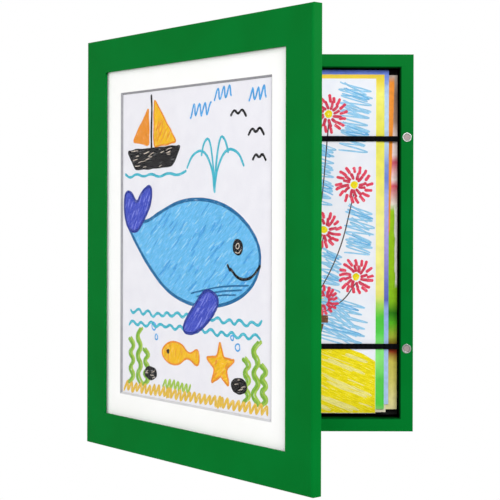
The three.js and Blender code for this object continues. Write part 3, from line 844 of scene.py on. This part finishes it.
# Turns a curve into a mesh on a page, with how far each corner lies along and across its stroke
def layWax(curve, page, measured, lifts):
    wax = bpy.data.objects.new(curve.name, curve)
    bpy.context.collection.objects.link(wax)
    takeUp(wax)
    bpy.ops.object.convert(target="MESH")
    strokeMap = wax.data.uv_layers.new(name="stroke")
    for corner in wax.data.loops:
        place = corner.vertex_index
        strokeMap.data[corner.index].uv = measured(place, wax.data.vertices[place].co)
    for place, vertex in enumerate(wax.data.vertices):
        vertex.co.z = lifts(place, vertex.co.z)
    bpy.ops.object.mode_set(mode="EDIT")
    bpy.ops.mesh.select_all(action="SELECT")
    bpy.ops.mesh.remove_doubles(threshold=crayon["weld"])
    bpy.ops.object.mode_set(mode="OBJECT")
    bpy.ops.object.shade_flat()
    wax.data.transform(page["turn"] @ pageTurn(page["depth"]))
    return wax


def addSpline(curve, path, closed):
    spline = curve.splines.new("POLY")
    spline.points.add(len(path) - 1)
    spline.use_cyclic_u = closed
    for made, point in zip(spline.points, path):
        made.co = (point.x, point.y, 0, 1)
    return spline


def layStrokes(page, name, strokes, lift):
    curve = bpy.data.curves.new(f"{page['name']}_{name}_strokes", "CURVE")
    curve.dimensions = "3D"
    curve.bevel_depth = 0.5  # times a point's radius, which is the width there
    curve.bevel_resolution = 0
    curve.use_fill_caps = True
    left, right, bottom, top = page["limits"]
    caps, tubes = [], []
    for stroke in strokes:
        edge = crayon["margin"] + stroke["width"] / 2
        path = [
            Vector((min(max(point.x, left + edge), right - edge),
                    min(max(point.y, bottom + edge), top - edge)))
            for point in stroke["path"]
        ]
        spline = addSpline(curve, path, stroke["closed"])
        taper = max(1, len(path) * crayon["taper"])
        travelled = dice.uniform(0, crayon["runIn"])
        spans = []
        for place, point in enumerate(path):
            ahead = path[min(place + 1, len(path) - 1)] - path[max(place - 1, 0)]
            nearEnd = min(place, len(path) - 1 - place) / taper
            pressure = 1 if stroke["closed"] else min(1, crayon["endShare"] + nearEnd)
            spline.points[place].radius = stroke["width"] * pressure * dice.uniform(*crayon["pressure"])
            travelled += (point - path[max(place - 1, 0)]).length
            across = Vector((-ahead.y, ahead.x)).normalized()
            spans.append((point, across, travelled, lift + dice.uniform(0, crayon["stagger"])))
        tubes += spans
        if not stroke["closed"]:
            caps = [spans[-1], spans[0], *caps]
    rings = caps + tubes  # the made mesh starts with all the caps, from the last stroke back to the first

    def measured(place, corner):
        point, across, travelled = rings[place // 4][:3]
        return travelled, (corner.xy - point).dot(across)

    def lifts(place, height):
        side = 0 if abs(height) < crayon["level"] else math.copysign(1, height)
        return rings[place // 4][3] + side * crayon["thickness"]

    return layWax(curve, page, measured, lifts)


def layPatches(page, patches, lift):
    laid = []
    for filled in patches:
        curve = bpy.data.curves.new("patch", "CURVE")
        curve.dimensions = "2D"
        curve.fill_mode = "BOTH"
        curve.extrude = crayon["thickness"]
        addSpline(curve, filled["outline"], True)
        turn = Matrix.Rotation(-filled["angle"], 2)
        laid.append(
            layWax(curve, page, lambda place, spot: turn @ spot.xy, lambda place, height: lift + height)
        )
    return laid


# Lays all that one crayon has drawn on a page as one thin piece of wax
def layCrayon(page, name, marks, order):
    lift = order * crayon["layer"]
    laid = layPatches(page, [mark for mark in marks if "outline" in mark], lift)
    strokes = [mark for mark in marks if "path" in mark]
    laid.append(layStrokes(page, name, strokes, lift + crayon["layer"] / 2))
    wax = joinAll(laid)
    wax.name = f"{page['name']}_{name}_crayon"
    wax.data.materials.append(waxCrayon(wax.name, page["crayons"][name], page["paper"]))
    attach(wax, page["body"])


def drawPage(page, *drawings):
    marks = {name: [] for name in page["crayons"]}
    for drawing in drawings:
        drawing(marks)
    for order, (name, drawn) in enumerate(marks.items()):
        layCrayon(page, name, drawn, order)


def pageLimits(node):
    low, high = shutBox(node)
    return low.x / mm, high.x / mm, low.z / mm, high.z / mm


# The page on show: a whale at sea, with a sailing boat, birds and things on the sea bed
showPage = {
    "name": "display", "body": "door", "slot": "coloured_paper", "paper": "#f4f3f9",
    "limits": pageLimits("display_sheet"), "turn": doorTurn,
    "depth": shutBox("display_sheet")[0].y / mm,
    "crayons": {
        "cornflower": "#6cc2f6", "iceBlue": "#a5defc", "skyBlue": "#4fa8ea", "deepBlue": "#1f6ca2",
        "turquoise": "#45bcd2", "meadowGreen": "#a8cc4e", "leafGreen": "#7fb43a", "sand": "#ecc24a",
        "sunYellow": "#fbc21e", "orange": "#f2952a", "indigo": "#4453c8", "lilac": "#8c94ea",
        "navy": "#2b3b98", "black": "#171618", "chalk": "#e8d8c8",
    },
}


def drawWhale(marks):
    body = [(-84, 22), (-66, 18), (-46, 28), (-16, 38), (22, 39), (58, 29), (84, 8), (89, -14),
            (75, -36), (40, -49), (0, -50), (-36, -40), (-66, -16), (-84, 4), (-95, 18)]
    flukes = [(-92, 12), (-99, 26), (-98, 46), (-88, 46), (-80, 34), (-72, 46), (-58, 52), (-58, 36),
              (-70, 20), (-80, 10)]
    fin = [(20, -34), (6, -48), (-12, -66), (-10, -74), (8, -72), (28, -58), (38, -42)]
    outline = roundOff(body, True, 3)
    marks["cornflower"] += [patch(outline, 38)]
    marks["iceBlue"] += flicks(outline, 38, 60, 9, 1.1)
    marks["skyBlue"] += flicks(outline, 42, 60, 13, 1.8)
    marks["deepBlue"] += [line(body, 3.0, True, 3), line(body, 2.0, True, 3)]
    for shape, angle in ((flukes, 62), (fin, 55)):
        ring = roundOff(shape, True, 2)
        marks["indigo"] += [patch(ring, angle)]
        marks["lilac"] += flicks(ring, angle, 14, 8, 1.0)
        marks["navy"] += [line(shape, 2.6, True, 3)]
    for drop in (0, 8, 16):
        crease = [(74 - drop, -30 - drop / 2), (36, -32 - drop / 2), (-2 + drop, -40 - drop / 4)]
        marks["deepBlue"] += [line(crease, 1.5)]
    marks["black"] += [patch(ringRound((60, 0), 6.5, 14), 20), line(ringRound((60, 0), 6.2, 10), 1.4, True)]
    lid, smile = [(57, -4), (61, -5), (64, -2)], [(88, -14), (77, -25), (61, -26), (50, -17)]
    marks["chalk"] += [line(ringRound((60, 1), 2.4, 7), 0.9, True), line(lid, 0.8)]
    marks["black"] += [line(smile, 2.4), line([(47, -14), (51, -20)], 2.2)]
    for sway, height in ((-30, 88), (-14, 98), (14, 99), (30, 88)):
        jet = [(0, 44), (0.1, 64), (0.5, height - 8), (1, height - 12), (1.25, height - 24)]
        marks["turquoise"] += [line([(30 + sway * share, v) for share, v in jet], 2.3)]


def drawSea(marks):
    for level, phase in ((-60, 0), (-70, 5)):
        crests = [
            (-98 + step * 7 + dice.uniform(-1.4, 1.4), level + (-1) ** (step + 1) * dice.uniform(1.8, 4.2))
            for step in range(28)
        ]
        marks["turquoise"] += [line([(u + phase, v) for u, v in crests if abs(u + phase) < 97], 2.6)]
    weeds = [(-88, 40, 4), (-77, 50, -4), (-66, 32, 4), (70, 36, 4), (81, 50, -5), (91, 32, 4)]
    for root, height, sway in weeds:
        blades = [(root + sway * (1 if step % 2 else -1), -124 + height * step / 6) for step in range(7)]
        marks["leafGreen"] += [line(blades, 3.4)]
        marks["meadowGreen"] += [line([(u + 3, v + 1) for u, v in blades], 3.0)]
    for near, far in ((-98, -30), (-34, 40), (36, 98)):
        marks["sand"] += [zigzag((near, -127), (far, -126), 3.6, 3.4, 2.8, 0.4)]
    marks["meadowGreen"] += [zigzag((-40, -119), (-2, -120), 3.6, 3, 2.4, 0.3)]
    arms = [(19 if point % 2 == 0 else 8, math.radians(90 + 36 * point)) for point in range(10)]
    star = traced([(38 + reach * math.cos(turn), -97 + reach * math.sin(turn)) for reach, turn in arms], 5)
    marks["sunYellow"] += [patch(roundOff(star), 30)]
    marks["orange"] += [line(star, 2.2, True)] + flicks(star, 60, 8, 6, 1.4)
    fish = [(-44, -92), (-32, -82), (-14, -83), (-4, -92), (10, -84), (10, -102), (-6, -93), (-18, -102),
            (-34, -101)]
    ring = roundOff(fish)
    marks["sunYellow"] += [patch(ring, 70)]
    marks["orange"] += [line(fish, 1.9, True, 2)] + flicks(ring, 80, 8, 7, 1.4)
    marks["black"] += [line(ringRound((-33, -91), 1.3, 6), 1.7, True)]
    for u, v, reach in ((-58, -112, 9), (62, -111, 10)):
        stone = roundOff(ringRound((u, v), reach, 9, 0.62))
        marks["black"] += [patch(stone, 15), line(stone, 1.6, True)]
        marks["chalk"] += flicks(stone, 15, 5, 5, 0.7)
    for bubble in ((-50, -80, 2.4), (-54, -71, 3.2), (60, -80, 3), (53, -73, 2.2)):
        marks["skyBlue"] += [line(ringRound(bubble[:2], bubble[2], 8), 1.4, True)]


def drawSky(marks):
    sail = traced([(-54, 84), (-54, 126), (-22, 88)])
    jib = traced([(-62, 86), (-62, 119), (-86, 90)])
    hull = traced([(-94, 82), (-16, 84), (-29, 67), (-82, 65)])
    marks["sunYellow"] += [patch(roundOff(sail), 58)]
    marks["orange"] += [patch(roundOff(jib), -58), line(sail, 1.9, True), line(jib, 1.9, True)]
    marks["orange"] += flicks(sail, 58, 12, 10, 1.6)
    marks["sunYellow"] += flicks(jib, -58, 6, 8, 1.3)
    mast = [(-58, 83), (-58.5, 100), (-57.5, 115), (-58, 130)]
    marks["black"] += [patch(roundOff(hull), 6), line(hull, 1.6, True), line(mast, 2.4)]
    marks["chalk"] += flicks(hull, 8, 20, 7, 0.8)
    wave = [(-98, 62), (-90, 58), (-80, 62), (-70, 58), (-58, 62), (-46, 58), (-34, 62), (-20, 59), (-8, 63)]
    marks["turquoise"] += [line(wave, 2.4)]
    for u, v, reach in ((82, 90, 10), (60, 106, 10), (86, 70, 8)):
        wings = [(-reach, -1), (-reach * 0.5, reach * 0.5), (0, 0), (reach * 0.5, reach * 0.5), (reach, -2)]
        marks["black"] += [line([(u + across, v + up) for across, up in wings], 2.2)]
    for u, v, run in ((-2, 112, 26), (30, 124, 22), (74, 120, 20)):
        marks["skyBlue"] += [zigzag((u, v), (u + run, v + 2), 5, 3.6, 2.0, 0.3)]


drawPage(showPage, drawWhale, drawSea, drawSky)
print("page on show drawn")

# The front stored sheet: round flowers in a pot over a yellow cloth, and blue scribbles
frontPage = {
    "name": "stored_front", "body": "box", "slot": "coloured_paper", "paper": "#f6f8ff",
    "limits": pageLimits("stored_drawing_1"), "turn": Matrix.Identity(4),
    "depth": sum(corner.y for corner in shutBox("stored_drawing_1")) / 2 / mm - paper["thickness"] / 2,
    "crayons": {
        "lemon": "#fdea1c", "paleLemon": "#faf08c", "airBlue": "#9cd6fa", "blue": "#70bef2",
        "stem": "#4a3a3a", "red": "#f24a64", "crimson": "#dc425c", "brown": "#7a4e34",
    },
    "flowers": [
        (66, 120, 18), (90, 54, 18), (62, 12, 17), (92, -32, 17), (32, 128, 16), (32, 68, 17),
        (-4, 104, 16), (0, 44, 15), (30, 2, 14), (-40, 126, 16), (-42, 70, 17), (-36, 12, 15),
        (-82, 104, 16), (-80, 42, 15), (-106, 138, 13), (-108, 74, 13), (-72, -14, 14), (62, -54, 14),
    ],
    "pot": (34, -84), "clothTop": -99,
}


def drawFlower(marks, u, v, radius):
    for count, start, end, name in ((17, 0.6, 1.0, "red"), (12, 0.26, 0.66, "crimson")):
        for petal in range(count):
            turn = 2 * math.pi * (petal + dice.uniform(-0.2, 0.2)) / count
            ahead = Vector((math.cos(turn), math.sin(turn)))
            aside = ahead.orthogonal()
            spots = [(start, 0), ((start + end) / 2, 0.06), (end * dice.uniform(0.92, 1.06), 0.14)]
            path = [Vector((u, v)) + (ahead * out + aside * lean) * radius for out, lean in spots]
            marks[name] += [line(path, 2.8, passes=1)]
    marks["lemon"] += [line(ringRound((u, v), radius * 0.12, 7), 3.2, True)]


def drawBouquet(marks):
    potU, potV = frontPage["pot"]
    for u, v, radius in frontPage["flowers"]:
        root, bend = (potU + (u - potU) * 0.12, potV + 10), (potU + (u - potU) * 0.75, (v + potV) / 2)
        marks["stem"] += [line([root, bend, (u, v - radius * 0.3)], 1.1, passes=3)]
        drawFlower(marks, u, v, radius)
    rim = [(potU - 30, potV + 9), (potU - 30, potV + 16), (potU + 32, potV + 16), (potU + 32, potV + 9)]
    bowl = [(potU - 26, potV + 8), (potU + 28, potV + 8), (potU + 20, potV - 24), (potU - 18, potV - 24)]
    marks["brown"] += [patch(rim, 5), patch(bowl, 70)] + flicks(bowl, 70, 14, 9, 1.4)


def drawCloth(marks):
    left, right, bottom, top = frontPage["limits"]
    edge, cloth = 0.2, frontPage["clothTop"]
    hem = [(left + (right - left) * share, cloth + rise) for share, rise in
           ((1, -12), (0.95, -5), (0.88, 1), (0.8, 4), (0.62, 3), (0.45, 6), (0.28, 2), (0.12, 6), (0, 1))]
    left, right = left + edge, right - edge
    corners = [(left, bottom + edge), (right, bottom + edge), (right, hem[0][1])]
    spread = [*corners, *hem[1:-1], (left, hem[-1][1])]
    marks["lemon"] += [patch(spread, -22)]
    marks["paleLemon"] += flicks(spread, -22, 45, 34, 3.6) + flicks(spread, -20, 50, 18, 1.5)


# Blue scribbles: an open one first, and closer ones over parts of it
def drawScribbles(marks):
    blots = [(92, 147, 84, 15), (97, 32, -12, 13), (78, -52, -94, 26), (62, 92, 34, 10), (50, 52, -20, 9),
             (42, 150, 130, 12), (70, -8, -44, 10), (14, 148, 118, 10), (14, 92, 20, 11), (-22, 100, 34, 9),
             (-62, 148, 92, 11), (-60, 54, -6, 10), (-96, 126, 84, 9), (-96, 30, -80, 15),
             (-118, 40, -60, 5), (-60, -30, -88, 13)]
    for u, vTop, vBottom, reach in blots:
        tall = vTop - vBottom
        marks["airBlue"] += [zigzag((u, vTop), (u - reach * 0.3, vBottom), reach, 3.2, 1.5, 0.5)]
        for near, far in ((0.04, 0.2), (0.3, 0.46), (0.6, 0.86)):
            start, end = (u, vTop - tall * near), (u - reach * 0.2, vTop - tall * far)
            marks["airBlue"] += [zigzag(start, end, reach * 0.85, 2.4, 1.7, 0.5)]
        for near, far in ((0.1, 0.2), (0.64, 0.78)):
            start, end = (u + 1, vTop - tall * near), (u, vTop - tall * far)
            marks["blue"] += [zigzag(start, end, reach * 0.75, 2.8, 1.3, 0.5)]


drawPage(frontPage, drawScribbles, drawCloth, drawBouquet)
print("front stored drawing drawn")
